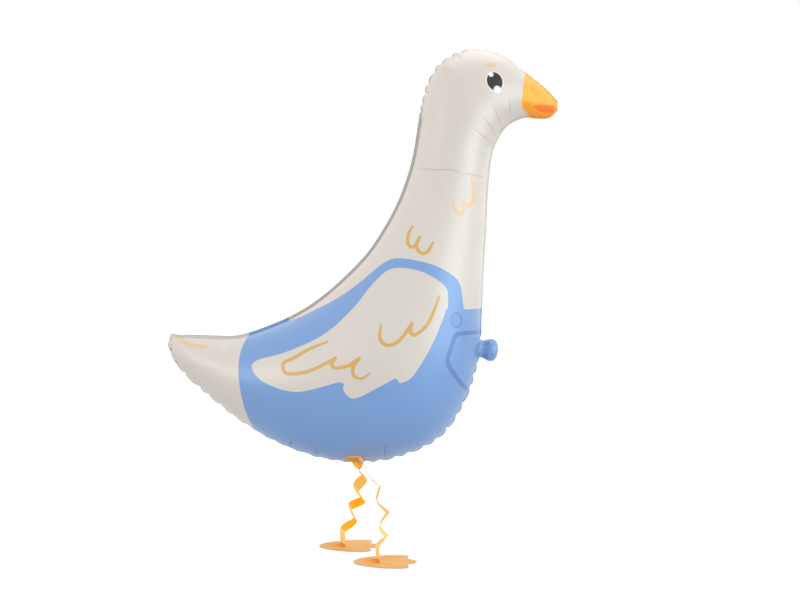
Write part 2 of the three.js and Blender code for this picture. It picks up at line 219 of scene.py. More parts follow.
# Each long crease: points [x, z] along it, how deep it is pressed, and how dark its painted shade is.
FOLDS = [
    ([(277, 866), (279, 851), (280, 838)], 0.8, 0.5),
    ([(247, 850), (254, 838), (260, 828), (265, 816)], 0.9, 0.55),
    ([(223, 834), (238, 820), (253, 803)], 0.9, 0.55),
    ([(207, 810), (225, 799), (249, 785)], 0.8, 0.5),
    ([(204, 772), (220, 766), (234, 760)], 0.8, 0.15),
    ([(107, 738), (139, 733), (170, 731), (192, 723)], 0.9, 0.6),
    ([(191, 728), (212, 724), (235, 722)], 0.8, 0.5),
    ([(128, 722), (138, 709), (146, 694)], 0.9, 0.1),
    ([(170, 963), (178, 957), (188, 941)], 1.0, 0.5),
    ([(146, 921), (154, 915), (164, 912)], 0.7, 0.25),
    ([(-138, 216), (-128, 229)], 2.6, 1.0),
    ([(-87, 202), (-80, 214)], 2.4, 1.0),
    ([(41, 184), (44, 221)], 2.8, 1.0),
    ([(107, 208), (103, 226)], 2.4, 0.8),
    ([(165, 240), (154, 254)], 2.4, 1.0),
    ([(198, 297), (183, 303)], 2.4, 0.9),
    ([(218, 365), (204, 369)], 2.4, 0.9),
    ([(222, 416), (206, 412)], 1.6, 0.3),
]
random.seed(11)


def nearest_on(line, spots):
    """Each spot's distance to a line, its share of the way along, and its distance to the line's left."""
    best, where = np.full(len(spots), np.inf), np.zeros(len(spots))
    left = np.zeros(len(spots))
    starts = run_lengths(line)
    for a, b, begin, end in zip(line[:-1], line[1:], starts[:-1], starts[1:]):
        ab = b - a
        share = np.clip((spots - a) @ ab / max(ab @ ab, 1e-12), 0, 1)
        off = spots - a - share[:, None] * ab
        gap = np.hypot(*off.T)
        closer = gap < best
        best[closer] = gap[closer]
        where[closer] = (begin + share[closer] * (end - begin)) / max(starts[-1], 1e-9)
        side = np.sign(ab[0] * off[:, 1] - ab[1] * off[:, 0])
        left[closer] = (gap * side)[closer]
    return best, where, left


spots = panel[..., [0, 2]].reshape(-1, 2)
nearest = nearest_seam(spots).reshape(panel.shape[:2])
at_seam = seam_at[nearest]
strength = gathered[nearest]
inner = slice(MARGIN_STEPS, STEPS_ACROSS + 1 - MARGIN_STEPS)
normal = np.zeros_like(panel)
cross = np.cross(np.gradient(panel[:, inner], axis=1), np.gradient(panel[:, inner], axis=0))
normal[:, inner] = cross / np.maximum(np.linalg.norm(cross, axis=2, keepdims=True), 1e-9)
for rim, seam_column in ((slice(0, MARGIN_STEPS), MARGIN_STEPS),
                         (slice(STEPS_ACROSS + 1 - MARGIN_STEPS, None), STEPS_ACROSS - MARGIN_STEPS)):
    in_plane = normal[:, seam_column] * (1, 0, 1)
    in_plane /= np.maximum(np.linalg.norm(in_plane, axis=1, keepdims=True), 1e-9)
    normal[:, rim] = in_plane[:, None]
steps = np.linalg.norm(np.diff(panel[:, inner], axis=1), axis=2)
from_back = np.concatenate([np.zeros((len(steps), 1)), np.cumsum(steps, axis=1)], axis=1)
from_seam = np.zeros(panel.shape[:2])
from_seam[:, inner] = np.minimum(from_back, from_back[:, -1:] - from_back)

notches = [0.0]
while notches[-1] < loop_run[-1]:
    height = seam[min(int(notches[-1]), len(seam) - 1), 1]
    pitch = HEAD_PITCH if height > HEAD_STARTS_AT else GATHER_PITCH
    notches.append(notches[-1] + pitch * random.uniform(*PITCH_SPREAD))
notches = np.array(notches)
crease_depth = np.array([random.uniform(*CREASE_DEPTH) for _ in notches])
crease_reach = np.array([random.uniform(*CREASE_REACH) for _ in notches])
next_notch = np.clip(np.searchsorted(notches, at_seam), 1, len(notches) - 1)
to_last = at_seam - notches[next_notch - 1]
to_next = notches[next_notch] - at_seam
lobe = np.abs(np.sin(math.pi * to_last / (to_last + to_next))) ** LOBE_ROUNDING
push = GATHER_DEPTH * strength * (lobe - LOBE_LEVEL) * np.exp(-((from_seam / GATHER_REACH) ** 2))

streak_knots = np.arange(0, loop_run[-1] + STREAK_PITCH, STREAK_PITCH)
streaks = np.array([random.uniform(-1, 1) for _ in streak_knots])
wave = np.interp(at_seam, streak_knots, streaks)
push += STREAK_DEPTH * wave * smooth_step(from_seam, *STREAK_STARTS) * np.exp(
    -((from_seam / STREAK_REACH) ** 2))

# Each notch's crease is dented, and gets a painted shade along its line that fades out to either side.
closest = np.where(to_last < to_next, next_notch - 1, next_notch)
fold_side = np.where(to_last < to_next, to_last, -to_next)
crease_depth_and_painted_shade = strength * np.exp(-((from_seam / crease_reach[closest]) ** 2)) * (
    crease_depth[closest] / DARKEST_CREASE)
push -= DARKEST_CREASE * crease_depth_and_painted_shade * np.exp(-np.abs(fold_side) / CREASE_WIDTH)
crease_depth_and_painted_shade *= smooth_step(np.abs(fold_side), FOLD_EDGE, FOLD_EDGE - FOLD_FADE)

# The long creases are pressed in, and each gets its own painted shade.
for points, deep, painted_shade in FOLDS:
    line = on_spline(points, np.linspace(0, 1, 12))
    gap, share, left = (values.reshape(push.shape) for values in nearest_on(line, spots))
    fade = np.sin(math.pi * np.clip(share, 0.04, 0.96)) ** 0.5
    push += deep * fade * (
        FOLD_BULGE * np.exp(-((gap / FOLD_BULGE_WIDTH) ** 2)) - FOLD_DIP * np.exp(-gap / CREASE_WIDTH))
    painted_fold_shade = painted_shade * fade * smooth_step(gap, FOLD_EDGE, FOLD_EDGE - FOLD_FADE)
    fold_side = np.where(painted_fold_shade > crease_depth_and_painted_shade, left, fold_side)
    crease_depth_and_painted_shade = np.maximum(crease_depth_and_painted_shade, painted_fold_shade)

at_breast = smooth_step(panel[..., 0], *SWELL_STARTS) * np.exp(
    -(((panel[..., 2] - SWELL_HEIGHT) / SWELL_REACH) ** 2) - (from_seam / SWELL_REACH) ** 2)
push += SWELL * at_breast
panel += normal * push[..., None]

# Painted shade on the welded margin: dark along the back of the neck, where the margin lies in shade, and
# hardly at the breast.
painted_margin_shade = np.zeros(panel.shape[:2])
on_neck = smooth_step(panel[..., 0], *NECK_STARTS) * smooth_step(panel[..., 2], *NECK_ENDS)
at_back = MARGIN_PAINTED_SHADE + NECK_MARGIN_PAINTED_SHADE * on_neck * (1 - strength)
painted_margin_shade[:, :MARGIN_STEPS + 1] = at_back[:, :MARGIN_STEPS + 1]
painted_margin_shade[:, STEPS_ACROSS - MARGIN_STEPS:] = BELLY_MARGIN_PAINTED_SHADE

# The print on the bag.
# Both panels carry the same print, right out to the rim: blue dungarees with a bib pocket and a button, a
# white wing, tan feather strokes, an eye with two lights, and an orange beak.
STROKE = 3.1  # half the width of a tan stroke
STROKE_NEEDS = 7.0  # the film's grid is finer as far as this outside a stroke
STROKE_TIP, STROKE_TAPERS = 0.6, 8  # a stroke's end is so narrow, and it widens over an eighth of its length
# Each ink is stored as the distance from its outline, above zero inside it. Places are [x, z].
dungarees = [
    [(-222, 440), (-220, 423), (-228, 387), (-228, 350), (-219, 293), (-203, 239), (-192, 195)],
    [(-192, 150), (300, 150), (300, 474)],
    [(300, 474), (225, 474), (190, 472)],
    [(189, 473), (186, 496), (183, 514), (173, 531), (135, 553), (79, 566), (45, 561), (-7, 520),
     (-50, 491), (-114, 460), (-141, 450)],
    [(-150, 470), (-240, 470)],
]
wing = [
    [(159, 506), (146, 522), (107, 543), (59, 548), (25, 524), (-20, 469), (-73, 424), (-142, 393),
     (-192, 379), (-202, 363), (-176, 338), (-117, 323), (-46, 340), (-31, 346)],
    [(-28, 341), (-31, 328), (-12, 312), (31, 332), (64, 350)],
    [(71, 340), (93, 351), (126, 402), (151, 459), (154, 470)],
    [(159, 476), (159, 506)],
]
tan_strokes = [
    [[(-60, 414), (-95, 400), (-123, 384), (-142, 374), (-137, 357), (-109, 357), (-81, 366), (-45, 385)],
     [(-45, 385), (-52, 374), (-44, 367), (-21, 372), (-2, 385)],
     [(-2, 385), (-11, 372), (-14, 361), (-9, 351), (4, 349), (17, 359)]],
    [[(37, 445), (35, 421), (46, 409), (61, 411), (75, 422), (93, 448)],
     [(93, 448), (91, 432), (98, 427), (116, 440), (128, 459), (143, 497)]],
    [[(95, 627), (87, 612), (86, 595), (92, 587), (99, 590), (107, 605)],
     [(107, 605), (102, 591), (105, 580), (114, 575), (124, 581), (132, 596)]],
]
pale_strokes = [
    [[(205, 719), (208, 702), (209, 682), (203, 667), (194, 666), (188, 675)],
     [(188, 675), (190, 659), (185, 650), (177, 652), (169, 667)]],
    [[(-357, 417), (-336, 408), (-317, 403), (-293, 402)]],
]
brow = [[(226, 927), (233, 933), (241, 936), (253, 936)], [(253, 928), (240, 926), (226, 927)]]
beak = [
    [(318, 940), (312, 926), (305, 903), (302, 881), (302, 862), (305, 854), (313, 848), (322, 843),
     (330, 838)],
    [(420, 800), (420, 950)],
]
lower_beak = [[(280, 864), (338, 864), (400, 862)], [(400, 800), (280, 800)]]
mouth = [[(324, 859), (340, 862), (355, 862), (368, 863)], [(369, 857), (365, 851), (350, 849), (337, 852),
                                                              (324, 859)]]
pocket_strokes = [
    [[(240, 428), (206, 429), (178, 428)],
     [(178, 428), (171, 421), (162, 394), (158, 381), (163, 366), (186, 334), (218, 301)]],
]
POCKET_STROKE = 4.0
EYE, EYE_SIZE, EYE_TILT = (248, 898), np.array((14.6, 17.6)), math.radians(16)
EYE_RIM = 3.0  # the pale line round the eye
EYE_LIGHTS = [((241, 911), 5.0), ((253, 883), 6.8)]
BUTTON, BUTTON_SIZE = (175, 453), np.array((11.0, 14.5))
BUTTON_RIM = 2.5
NOSTRIL, NOSTRIL_SIZE, NOSTRIL_TILT = (322, 890), (2.6, 5.0), math.radians(30)


def outline(runs):
    """A line through some runs of points, smooth along each run, with a corner where two runs meet."""
    return np.vstack([on_spline(run, np.linspace(0, 1, 6 * (len(run) - 1) + 1)) for run in runs])


def inside(runs, spots):
    """Each spot's distance inside a closed outline, below zero outside it."""
    line = outline(runs)
    line = np.vstack([line, line[:1]])
    gap = nearest_on(line, spots)[0]
    odd = np.zeros(len(spots), bool)
    for (xa, za), (xb, zb) in zip(line[:-1], line[1:]):
        if za != zb:
            crossing = (za > spots[:, 1]) != (zb > spots[:, 1])
            odd ^= crossing & (spots[:, 0] < xa + (spots[:, 1] - za) * (xb - xa) / (zb - za))
    return np.where(odd, gap, -gap)


def drawn(strokes, spots, half, tip=STROKE_TIP):
    """Each spot's distance inside some brush strokes, which narrow to the tip's share at their ends."""
    best = np.full(len(spots), -np.inf)
    for stroke in strokes:
        gap, share, _ = nearest_on(outline(stroke), spots)
        width = half * (tip + (1 - tip) * np.minimum(1, STROKE_TAPERS * np.minimum(share, 1 - share)))
        best = np.maximum(best, width - gap)
    return best


def in_ellipse(spots, centre, size, tilt=0.0):
    """Each spot's distance inside an ellipse, near enough for a print's edge."""
    x, z = (spots - centre).T
    across = (x * math.cos(tilt) + z * math.sin(tilt)) / size[0]
    along = (z * math.cos(tilt) - x * math.sin(tilt)) / size[1]
    return (1 - np.hypot(across, along)) * min(size)


def carries_stroke(spots):
    """Whether each spot is on or near a line so thin that the film's grid has to be finer there."""
    thin = [drawn(tan_strokes + pale_strokes, spots, STROKE), drawn(pocket_strokes, spots, POCKET_STROKE),
            inside(brow, spots), inside(mouth, spots)]
    return np.max(thin, axis=0) > -STROKE_NEEDS


def print_on(mesh):
    """Stores every ink's distance on the mesh's points."""
    where = np.empty(len(mesh.vertices) * 3)
    mesh.vertices.foreach_get("co", where)
    spots = where.reshape(-1, 3)[:, [0, 2]] / MM
    lights = [in_ellipse(spots, centre, (radius, radius)) for centre, radius in EYE_LIGHTS]
    inks = {
        "ink_dungarees": np.minimum(inside(dungarees, spots), -inside(wing, spots)),
        "ink_tan_strokes": drawn(tan_strokes, spots, STROKE),
        "ink_pale_strokes": np.maximum(drawn(pale_strokes, spots, STROKE), inside(brow, spots)),
        "ink_eye_rim": in_ellipse(spots, EYE, EYE_SIZE + EYE_RIM, EYE_TILT),
        "ink_eye": in_ellipse(spots, EYE, EYE_SIZE, EYE_TILT),
        "ink_eye_lights": np.maximum(*lights),
        "ink_beak": inside(beak, spots),
        "ink_lower_beak": np.minimum(inside(beak, spots), inside(lower_beak, spots)),
        "ink_mouth": inside(mouth, spots),
        "ink_nostril": in_ellipse(spots, NOSTRIL, NOSTRIL_SIZE, NOSTRIL_TILT),
        "ink_pocket": np.maximum(drawn(pocket_strokes, spots, POCKET_STROKE, 1.0),
                                 in_ellipse(spots, BUTTON, BUTTON_SIZE)),
        "ink_button": in_ellipse(spots, BUTTON, BUTTON_SIZE - BUTTON_RIM),
    }
    for name, values in inks.items():
        mesh.attributes.new(name, "FLOAT", "POINT").data.foreach_set("value", values.astype(np.float32))


# One flat grid is the film as it is cut. Every point of it goes to its place on the blown-up panel, and the
# other panel is its mirror image, welded to it along the rim.
film = bmesh.new()
bmesh.ops.create_grid(film, x_segments=STEPS_ALONG, y_segments=STEPS_ACROSS // COARSE_STEP, size=1)
carries = carries_stroke(panel[..., [0, 2]].reshape(-1, 2)).reshape(panel.shape[:2])


def on_film(vert):
    """The two steps, along and across the film, that a point of the flat grid stands for."""
    return round((vert.co.x + 1) / 2 * STEPS_ALONG), round((vert.co.y + 1) / 2 * STEPS_ACROSS)


too_long = [edge for edge in film.edges if abs(edge.verts[0].co.y - edge.verts[1].co.y) > 1e-6
            and any(carries[on_film(vert)] for vert in edge.verts)]
bmesh.ops.subdivide_edges(film, edges=too_long, cuts=COARSE_STEP - 1)
layers = {
    film.verts.layers.float.new("painted_margin_shade"): painted_margin_shade,
    film.verts.layers.float.new("fold_side"): fold_side,
    film.verts.layers.float.new("crease_depth_and_painted_shade"): crease_depth_and_painted_shade,
}
for vert in film.verts:
    i, j = on_film(vert)
    for layer, values in layers.items():
        vert[layer] = values[i, j]
    vert.co = Vector(panel[i, j]) * MM
bmesh.ops.mirror(film, geom=film.verts[:] + film.edges[:] + film.faces[:], matrix=Matrix(), axis="Y")
bmesh.ops.remove_doubles(film, verts=film.verts, dist=0.00002)
for vert in film.verts:
    if abs(vert.co.y) <= half_weld * MM:
        _, k, gap = seam_tree.find((vert.co.x / MM, 0, vert.co.z / MM))
        wave = math.sin(2 * math.pi * seam_at[k] / GATHER_PITCH)
        wave *= LEAST_RUFFLE + (1 - LEAST_RUFFLE) * gathered[k]
        vert.co.y += RUFFLE * MM * wave * smooth_step(gap, 1, RIM_WIDTH)
bmesh.ops.recalc_face_normals(film, faces=film.faces)
bag_surface = BVHTree.FromBMesh(film)
bag_mesh = bpy.data.meshes.new("goose_bag")
film.to_mesh(bag_mesh)
film.free()
bag_mesh.shade_smooth()

# The film's material.
# Pearl-white foil film with a satin gloss. The inks lie over it one after another, the beak's and the eye's
# are less glossy, and painted shade darkens the film along its welded margin and in the bottom of a crease.
INK_MATTING = 0.9  # the share of the coat's gloss that the beak's and the eye's inks take away
# How far painted shade darkens the welded margin and the creases, and the colours it darkens them towards.
MARGIN_DARKNESS, MARGIN_SHADE = 0.75, (0.22, 0.22, 0.23, 1)
CREASE_DARKNESS, CREASE_SHADE = 0.7, (0.3, 0.3, 0.34, 1)
CREASE_LINE = (0.2, 1.8)  # a crease's painted dark line of shade, from its middle to its edge


def print_colour(red, green, blue):
    """A colour given as it shows on a screen, from 0 to 255, as Blender's linear colour."""
    return (*[((c / 255 + 0.055) / 1.055) ** 2.4 for c in (red, green, blue)], 1)


def ink_over():
    """A node group that lays an ink over a colour wherever its distance is above zero."""
    group = bpy.data.node_groups.new("ink_over", "ShaderNodeTree")
    sockets = group.interface
    sockets.new_socket("Under", in_out="INPUT", socket_type="NodeSocketColor")
    sockets.new_socket("Ink", in_out="INPUT", socket_type="NodeSocketColor")
    sockets.new_socket("Distance", in_out="INPUT", socket_type="NodeSocketFloat")
    sockets.new_socket("Softness", in_out="INPUT", socket_type="NodeSocketFloat")
    sockets.new_socket("Color", in_out="OUTPUT", socket_type="NodeSocketColor")
    given = group.nodes.new("NodeGroupInput")
    result = group.nodes.new("NodeGroupOutput")
    below = group.nodes.new("ShaderNodeMath")
    below.operation = "MULTIPLY"
    below.inputs[1].default_value = -1
    cover = group.nodes.new("ShaderNodeMapRange")
    cover.interpolation_type = "SMOOTHSTEP"
    mix = group.nodes.new("ShaderNodeMix")
    mix.data_type = "RGBA"
    link = group.links.new
    link(given.outputs["Softness"], below.inputs[0])
    link(given.outputs["Distance"], cover.inputs["Value"])
    link(below.outputs[0], cover.inputs["From Min"])
    link(given.outputs["Softness"], cover.inputs["From Max"])
    link(cover.outputs["Result"], mix.inputs["Factor"])
    link(given.outputs["Under"], mix.inputs["A"])
    link(given.outputs["Ink"], mix.inputs["B"])
    link(mix.outputs["Result"], result.inputs["Color"])
    return group


def uneven_surface():
    """A node group for a surface that is slightly uneven: a height, and a roughness that varies with it."""
    group = bpy.data.node_groups.new("uneven_surface", "ShaderNodeTree")
    sockets = group.interface
    sockets.new_socket("Vector", in_out="INPUT", socket_type="NodeSocketVector")
    sockets.new_socket("Scale", in_out="INPUT", socket_type="NodeSocketFloat")
    sockets.new_socket("Smoothest", in_out="INPUT", socket_type="NodeSocketFloat")
    sockets.new_socket("Roughest", in_out="INPUT", socket_type="NodeSocketFloat")
    sockets.new_socket("Height", in_out="OUTPUT", socket_type="NodeSocketFloat")
    sockets.new_socket("Roughness", in_out="OUTPUT", socket_type="NodeSocketFloat")
    given = group.nodes.new("NodeGroupInput")
    result = group.nodes.new("NodeGroupOutput")
    uneven = group.nodes.new("ShaderNodeTexNoise")
    uneven.inputs["Detail"].default_value = 3
    gloss = group.nodes.new("ShaderNodeMapRange")
    link = group.links.new
    link(given.outputs["Vector"], uneven.inputs["Vector"])
    link(given.outputs["Scale"], uneven.inputs["Scale"])
    link(uneven.outputs["Fac"], gloss.inputs["Value"])
    link(given.outputs["Smoothest"], gloss.inputs["To Min"])
    link(given.outputs["Roughest"], gloss.inputs["To Max"])
    link(uneven.outputs["Fac"], result.inputs["Height"])
    link(gloss.outputs["Result"], result.inputs["Roughness"])
    return group


INK_OVER = ink_over()
UNEVEN_SURFACE = uneven_surface()


def surface(name, scale, smoothest, roughest, relief_height):
    """A material with an uneven surface, its shader, and the object's own coordinates."""
    material = bpy.data.materials.new(name)
    material.use_nodes = True
    nodes, link = material.node_tree.nodes, material.node_tree.links.new
    shader = nodes["Principled BSDF"]
    place = nodes.new("ShaderNodeTexCoord").outputs["Object"]
    uneven = nodes.new("ShaderNodeGroup")
    uneven.node_tree = UNEVEN_SURFACE
    uneven.inputs["Scale"].default_value = scale
    uneven.inputs["Smoothest"].default_value = smoothest
    uneven.inputs["Roughest"].default_value = roughest
    relief = nodes.new("ShaderNodeBump")
    relief.inputs["Strength"].default_value = 1
    relief.inputs["Distance"].default_value = relief_height
    link(place, uneven.inputs["Vector"])
    link(uneven.outputs["Height"], relief.inputs["Height"])
    link(uneven.outputs["Roughness"], shader.inputs["Roughness"])
    link(relief.outputs["Normal"], shader.inputs["Normal"])
    return material, shader, place


def marked(material, attribute):
    """The socket that reads a value stored on the mesh's points."""
    value = material.node_tree.nodes.new("ShaderNodeAttribute")
    value.attribute_name = attribute
    return value.outputs["Fac"]


def blended(material, factor, under, over, blend="MIX"):
    """The socket of a colour with another blended over it. A colour is a socket or four numbers."""
    mix = material.node_tree.nodes.new("ShaderNodeMix")
    mix.data_type = "RGBA"
    mix.blend_type = blend
    material.node_tree.links.new(factor, mix.inputs["Factor"])
    for colour, name in ((under, "A"), (over, "B")):
        if isinstance(colour, tuple):
            mix.inputs[name].default_value = colour
        else:
            material.node_tree.links.new(colour, mix.inputs[name])
    return mix.outputs["Result"]


def worked_out(material, operation, *values):
    """The socket of a sum worked out from sockets and numbers."""
    node = material.node_tree.nodes.new("ShaderNodeMath")
    node.operation = operation
    for value, entry in zip(values, node.inputs):
        if isinstance(value, (int, float)):
            entry.default_value = value
        else:
            material.node_tree.links.new(value, entry)
    return node.outputs[0]


def ranged(material, value, low, high):
    """The socket of a value spread over 0 to 1, smoothly, as it goes from low to high."""
    spread = material.node_tree.nodes.new("ShaderNodeMapRange")
    spread.interpolation_type = "SMOOTHSTEP"
    spread.inputs["From Min"].default_value = low
    spread.inputs["From Max"].default_value = high
    material.node_tree.links.new(value, spread.inputs["Value"])
    return spread.outputs["Result"]


def printed_foil():
    material, shader, place = surface("printed_foil", 13, 0.4, 0.5, 0.001)
    shader.inputs["Metallic"].default_value = 0.12
    shader.inputs["Coat IOR"].default_value = 1.75
    shader.inputs["Coat Roughness"].default_value = 0.34
    nodes, link = material.node_tree.nodes, material.node_tree.links.new
    drift = nodes.new("ShaderNodeMapping")
    drift.inputs["Scale"].default_value = (10, 10, 1.6)
    clouds = nodes.new("ShaderNodeTexNoise")
    clouds.inputs["Scale"].default_value = 1
    link(place, drift.inputs["Vector"])
    link(drift.outputs["Vector"], clouds.inputs["Vector"])
    colour = blended(material, ranged(material, clouds.outputs["Fac"], 0.35, 0.65),
                     print_colour(206, 195, 186), print_colour(202, 196, 186))
    inks = [
        ("ink_dungarees", print_colour(98, 144, 200), 0.5),
        ("ink_pocket", print_colour(60, 108, 178), 1.0),
        ("ink_button", print_colour(92, 138, 196), 1.0),
        ("ink_tan_strokes", print_colour(202, 154, 62), 0.7),
        ("ink_pale_strokes", print_colour(214, 184, 134), 0.7),
        ("ink_beak", print_colour(246, 176, 58), 0.6),
        ("ink_lower_beak", print_colour(246, 154, 16), 3.5),
        ("ink_mouth", print_colour(238, 112, 0), 1.6),
        ("ink_nostril", print_colour(222, 146, 40), 1.6),
        ("ink_eye_rim", print_colour(215, 208, 200), 1.2),
        ("ink_eye", print_colour(34, 34, 30), 0.5),
        ("ink_eye_lights", print_colour(240, 240, 236), 0.5),
    ]
    for attribute, ink, softness in inks:
        lay = nodes.new("ShaderNodeGroup")
        lay.node_tree = INK_OVER
        lay.inputs["Ink"].default_value = ink
        lay.inputs["Softness"].default_value = softness
        link(colour, lay.inputs["Under"])
        link(marked(material, attribute), lay.inputs["Distance"])
        colour = lay.outputs["Color"]
    opaque = worked_out(material, "MAXIMUM", marked(material, "ink_beak"), marked(material, "ink_eye"))
    matt = worked_out(material, "MULTIPLY", ranged(material, opaque, -0.5, 0.5), INK_MATTING)
    link(worked_out(material, "SUBTRACT", 1.0, matt), shader.inputs["Coat Weight"])
    # Painted shade: the welded margin is darkened.
    margin = worked_out(material, "MULTIPLY", marked(material, "painted_margin_shade"), MARGIN_DARKNESS)
    colour = blended(material, margin, colour, MARGIN_SHADE, "MULTIPLY")
    # Painted shade: the bottom of each crease is darkened along its line.
    off_line = worked_out(material, "ABSOLUTE", marked(material, "fold_side"))
    on_line = worked_out(material, "SUBTRACT", 1.0, ranged(material, off_line, *CREASE_LINE))
    crease = worked_out(material, "MULTIPLY", on_line, marked(material, "crease_depth_and_painted_shade"))
    crease = worked_out(material, "MULTIPLY", crease, CREASE_DARKNESS)
    link(blended(material, crease, colour, CREASE_SHADE, "MULTIPLY"), shader.inputs["Base Color"])
    return material


def piece(name, mesh, material, node):
    """A finished piece on the part's one body, standing for a solid."""
    made = bpy.data.objects.new(name, mesh)
    bpy.context.collection.objects.link(made)
    mesh.materials.clear()
    mesh.materials.append(material)
    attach(made, "root")
    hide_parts(node)
    return made


FOIL = printed_foil()
print_on(bag_mesh)
piece("goose_bag", bag_mesh, FOIL, "foil_bag")

# The filling neck: a short tube of the same blue film at the breast, through which the bag is blown up.
# It is gathered where it leaves the bag, swells again beyond, and is closed with a rounded end. Its profile
# is [radius, distance from the seam] in millimetres, and it is spun, flattened and turned to hang a little.
NECK_PROFILE = [(25, -12), (22, -2), (18.5, 6), (17, 12), (18.6, 18), (21, 24), (21.6, 30), (19.6, 36),
                (13.5, 40.5), (6, 42.2), (0, 42.6)]
NECK_DROOP = 7.0
NECK_FLATNESS = 0.85
NECK_SIDES, NECK_STEPS = 48, 40
TUCKS, TUCK_DEPTH, TUCKED_AT, TUCK_REACH, TUCK_TURN = 9, 0.07, 12.0, 9.0, 0.4
BREAST_FROM, BREAST_TO = 150, 225  # the X over which the breast's outline rises past the neck
breast = belly[:int(np.argmax(belly[:, 0] > BREAST_TO))]
breast = breast[breast[:, 0] > BREAST_FROM]
root_x = float(np.interp(SWELL_HEIGHT, breast[:, 1], breast[:, 0]))
neck = bmesh.new()
profile = [neck.verts.new((radius * MM, 0, out * MM))
           for radius, out in on_spline(NECK_PROFILE, np.linspace(0, 1, NECK_STEPS + 1))]
profile_edges = [neck.edges.new(pair) for pair in zip(profile, profile[1:])]
bmesh.ops.spin(neck, geom=profile + profile_edges, cent=(0, 0, 0), axis=(0, 0, 1), dvec=(0, 0, 0),
               angle=2 * math.pi, steps=NECK_SIDES, use_merge=True, use_duplicate=False)
bmesh.ops.remove_doubles(neck, verts=neck.verts, dist=0.00005)
bmesh.ops.edgeloop_fill(neck, edges=[e for e in neck.edges if e.is_boundary])
for vert in neck.verts:
    tuck = math.exp(-(((vert.co.z / MM - TUCKED_AT) / TUCK_REACH) ** 2))
    round_it = math.atan2(vert.co.y, vert.co.x)
    squeeze = 1 - TUCK_DEPTH * tuck * (1 - abs(math.sin(TUCKS * round_it / 2 + TUCK_TURN)))
    vert.co.x *= squeeze
    vert.co.y *= squeeze * NECK_FLATNESS
placed = Matrix.Translation((root_x * MM, 0, SWELL_HEIGHT * MM)) @ Matrix.Rotation(
    math.radians(90 + NECK_DROOP), 4, "Y")
bmesh.ops.transform(neck, matrix=placed, verts=neck.verts)
bmesh.ops.recalc_face_normals(neck, faces=neck.faces)
neck_mesh = bpy.data.meshes.new("filling_neck")
neck.to_mesh(neck_mesh)
neck.free()
neck_mesh.shade_smooth()
print_on(neck_mesh)
piece("filling_neck", neck_mesh, FOIL, "foil_bag")

# The legs: two pleated strips of orange paper.
# One end of each is glued flat under the belly and the other flat on its foot, and the pleats between them
# are pulled out by the bag's lift.
STRIP_WIDTH = 29.0
PAPER_THICKNESS = 0.45
BELLY_TAB, FOOT_TAB = 29.0, 28.0
TAB_FROM_MIDDLE = 40.5  # from the seam to the middle of a belly tab
TAB_FLARE = 9.0  # how much wider the glued end is pressed out than the strip
FEET_APART = 114.0
CARD_THICKNESS = 2.0
GLUE_GAP = 0.3
ROWS_PER_PLEAT, PAPER_STEPS = 12, 6
FOLD_ROUNDING = 0.1  # the share of a pleat over which each fold is rounded
PAINTED_GLOW_THROUGH = 0.15  # painted light: the paper glows a little in its own colour, for the room's light that comes through the thin paper
PLEAT_BOW = 1.2  # how far a pleat bows out between its folds
# Painted light and shade of the two tabs: how far each is mixed towards the deep orange of paper turned from
# the light.
BELLY_TAB_SHADE, FOOT_TAB_SHADE = 0.5, 0.45
TAB_END = 0.35  # the share of its half width to which a belly tab's far end is rounded off
PRESSED_UNTIL = 1.25  # the strip is kept under the belly as far as here, where 1 is the end of the tab
SLOPE_REACH = 10.0
FOLD_SAMPLES = 9
PAST_FOLD = 0.02  # a row this little short of a fold has the next pleat's painted shade
BELLY_TAB_PAINTED_SHADE, BELLY_TAB_PAINTED_SHADE_AT = (0.7, 1, 0), (0, 0.75, 1.06)  # how far painted shade darkens the belly tab, which hangs in the belly's shadow, and where
BELLY_SHADE_RIM = 0.6  # the share of that painted shade that is missing at the tab's two sides
FOOT_TAB_DARKENING, FOOT_TAB_DARKENING_FROM_END = (0, 1, 0.3), (1.12, 1, 0)  # how far the foot tab is darkened to deep orange, and where, counted from its end
PLEAT_TWIST = 30.0  # how far a twisted pleat's middle turns its face to the side, in degrees
# Each fold, from the top: its share of the way down, how far it stands forward, the way the strip's width
# points there in degrees from +X towards -Y, how many degrees that dips, and the paper's painted shade below
# it.
RIGHT_PLEATS = [
    (0.177, 8, 86, -10, 0.1),
    (0.271, 27, 83, -10, 0.15),
    (0.42, 15, 84, -8, 0.15),
    (0.529, 33, 72, -13, 0.1),
    (0.664, 11, 96, 0, 0.2),
    (0.77, 23, 103, -1, 0.25),
    (0.849, 2, 77, -6, 0.1),
]
LEFT_PLEATS = [
    (0.07, 2, 50, 0, 0.8),
    (0.2, 10, 88, -9, 0.3),
    (0.276, 23, 65, 11, 0.6),
    (0.394, 8, 66, 13, 0.2),
    (0.516, 26, 67, 10, 1.0),
    (0.594, 2, 74, 6, 0.1),
    (0.728, 17, 74, -2, 1.0),
    (0.843, -6, 68, -3, 0.1),
]


def under_belly(x, y):
    """The height of the bag's underside over a place on the floor, in millimetres."""
    hit = bag_surface.ray_cast(Vector((x * MM, y * MM, 0)), Vector((0, 0, 1)))
    return hit[0].z / MM


def way_across(turn, dip):
    turn, dip = math.radians(turn), math.radians(dip)
    return np.array([math.cos(turn) * math.cos(dip), -math.sin(turn) * math.cos(dip), -math.sin(dip)])


